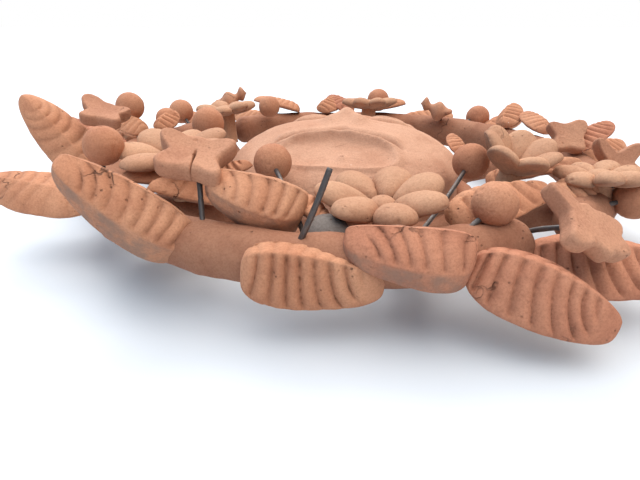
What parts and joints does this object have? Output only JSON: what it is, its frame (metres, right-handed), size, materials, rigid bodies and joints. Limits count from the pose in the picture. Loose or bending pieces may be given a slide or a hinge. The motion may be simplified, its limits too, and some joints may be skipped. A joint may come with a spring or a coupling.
{
  "type": "clay tree of life plaque",
  "caption": "Round fired-clay wreath plaque: a moulded face inside a coil ring set with ribbed leaves, petalled flowers, butterflies and clay berries on iron wires.",
  "frame": {"origin": "middle of the whole plaque's outline, on the plane of the face's flat back rim, on which the plaque lies", "axes": "+Z out of the face towards the viewer, -Y towards the chin of the face, +X to the right as seen from the front"},
  "size_m": [0.2855, 0.2448, 0.0555],
  "materials": {
    "clay_face": "unglazed fired terracotta, smoothed by hand, matt",
    "clay_coil": "unglazed fired terracotta, hand rolled, matt",
    "clay_leaf": "unglazed fired terracotta with pressed ribs, matt",
    "clay_flower": "unglazed fired terracotta, matt",
    "clay_berry": "unglazed fired terracotta, rolled balls, matt",
    "clay_butterfly": "unglazed fired terracotta, cut slab, matt",
    "annealed_wire": "black annealed iron wire, dull oxide"
  },
  "bodies": {
    "root": {"bare_wire": "annealed_wire", "berry_01": "clay_berry", "berry_02": "clay_berry", "berry_03": "clay_berry", "berry_04": "clay_berry", "berry_05": "clay_berry", "berry_06": "clay_berry", "berry_07": "clay_berry", "berry_08": "clay_berry", "berry_09": "clay_berry", "berry_wire_01": "annealed_wire", "berry_wire_02": "annealed_wire", "berry_wire_03": "annealed_wire", "berry_wire_04": "annealed_wire", "berry_wire_05": "annealed_wire", "berry_wire_06": "annealed_wire", "berry_wire_07": "annealed_wire", "berry_wire_08": "annealed_wire", "berry_wire_09": "annealed_wire", "branch_01": "clay_coil", "branch_02": "clay_coil", "branch_03": "clay_coil", "branch_04": "clay_coil", "branch_05": "clay_coil", "branch_06": "clay_coil", "butterfly_01": "clay_butterfly", "butterfly_02": "clay_butterfly", "butterfly_03": "clay_butterfly", "butterfly_04": "clay_butterfly", "butterfly_wire_01": "annealed_wire", "butterfly_wire_02": "annealed_wire", "butterfly_wire_03": "annealed_wire", "butterfly_wire_04": "annealed_wire", "collar_coil": "clay_coil", "face_mask": "clay_face", "flower_01": "clay_flower", "flower_02": "clay_flower", "flower_03": "clay_flower", "flower_04": "clay_flower", "flower_05": "clay_flower", "flower_06": "clay_flower", "leaf_01": "clay_leaf", "leaf_02": "clay_leaf", "leaf_03": "clay_leaf", "leaf_04": "clay_leaf", "leaf_05": "clay_leaf", "leaf_06": "clay_leaf", "leaf_07": "clay_leaf", "leaf_08": "clay_leaf", "leaf_09": "clay_leaf", "leaf_10": "clay_leaf", "leaf_11": "clay_leaf", "leaf_12": "clay_leaf", "leaf_13": "clay_leaf", "leaf_14": "clay_leaf", "leaf_15": "clay_leaf", "leaf_16": "clay_leaf", "ring_coil_back": "clay_coil", "ring_coil_front": "clay_coil"}
  },
  "joints": []
}
